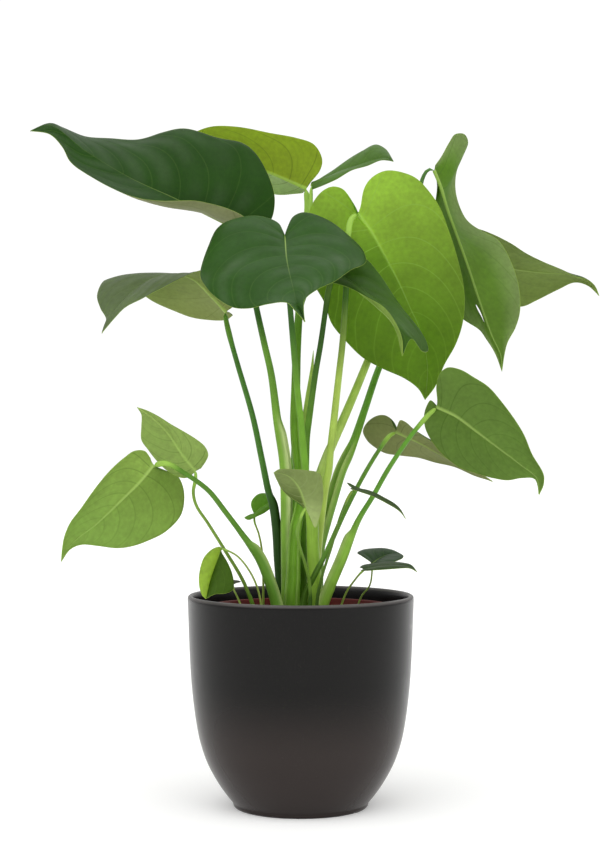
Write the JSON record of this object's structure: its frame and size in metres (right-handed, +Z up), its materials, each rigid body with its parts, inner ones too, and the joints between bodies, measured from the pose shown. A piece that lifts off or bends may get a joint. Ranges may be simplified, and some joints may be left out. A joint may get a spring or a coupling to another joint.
{
  "type": "potted swiss cheese plant",
  "caption": "Young swiss cheese plant with heart-shaped leaves on long sheathed stalks, in a nursery pot set in a round matte ceramic cover pot.",
  "frame": {"origin": "centre of the cover pot's flat foot, on the surface it stands on", "axes": "+Z up along the pot's axis; -Y is the side the picture was taken from; +X is the viewer's right"},
  "size_m": [0.5197, 0.3436, 0.61],
  "materials": {
    "pot_ceramic": "matte",
    "nursery_plastic": "satin",
    "potting_mix": "crumbly",
    "leaf_green": "satin",
    "leaf_bright": "satin",
    "stalk_green": "satin"
  },
  "bodies": {
    "root": {"blade_back_left": "leaf_bright", "blade_back_right": "leaf_green", "blade_bright": "leaf_bright", "blade_bud_left": "leaf_green", "blade_dark_low": "leaf_green", "blade_edge_right": "leaf_green", "blade_far_right": "leaf_green", "blade_front": "leaf_green", "blade_front_small": "leaf_green", "blade_left": "leaf_green", "blade_low_left": "leaf_green", "blade_low_left_back": "leaf_green", "blade_low_right": "leaf_green", "blade_low_right_back": "leaf_green", "blade_right": "leaf_green", "blade_rim_left": "leaf_bright", "blade_rim_left_back": "leaf_green", "blade_rim_right": "leaf_green", "blade_rim_right_back": "leaf_green", "blade_upper_left": "leaf_green", "cover_pot": "pot_ceramic", "new_leaf": "stalk_green", "nursery_pot": "nursery_plastic", "petiole_back_left": "stalk_green", "petiole_back_right": "stalk_green", "petiole_bright": "stalk_green", "petiole_bud_left": "stalk_green", "petiole_dark_low": "stalk_green", "petiole_edge_right": "stalk_green", "petiole_far_right": "stalk_green", "petiole_front": "stalk_green", "petiole_front_small": "stalk_green", "petiole_left": "stalk_green", "petiole_low_left": "stalk_green", "petiole_low_left_back": "stalk_green", "petiole_low_right": "stalk_green", "petiole_low_right_back": "stalk_green", "petiole_right": "stalk_green", "petiole_rim_left": "stalk_green", "petiole_rim_left_back": "stalk_green", "petiole_rim_right": "stalk_green", "petiole_rim_right_back": "stalk_green", "petiole_upper_left": "stalk_green", "soil": "potting_mix"}
  },
  "joints": []
}
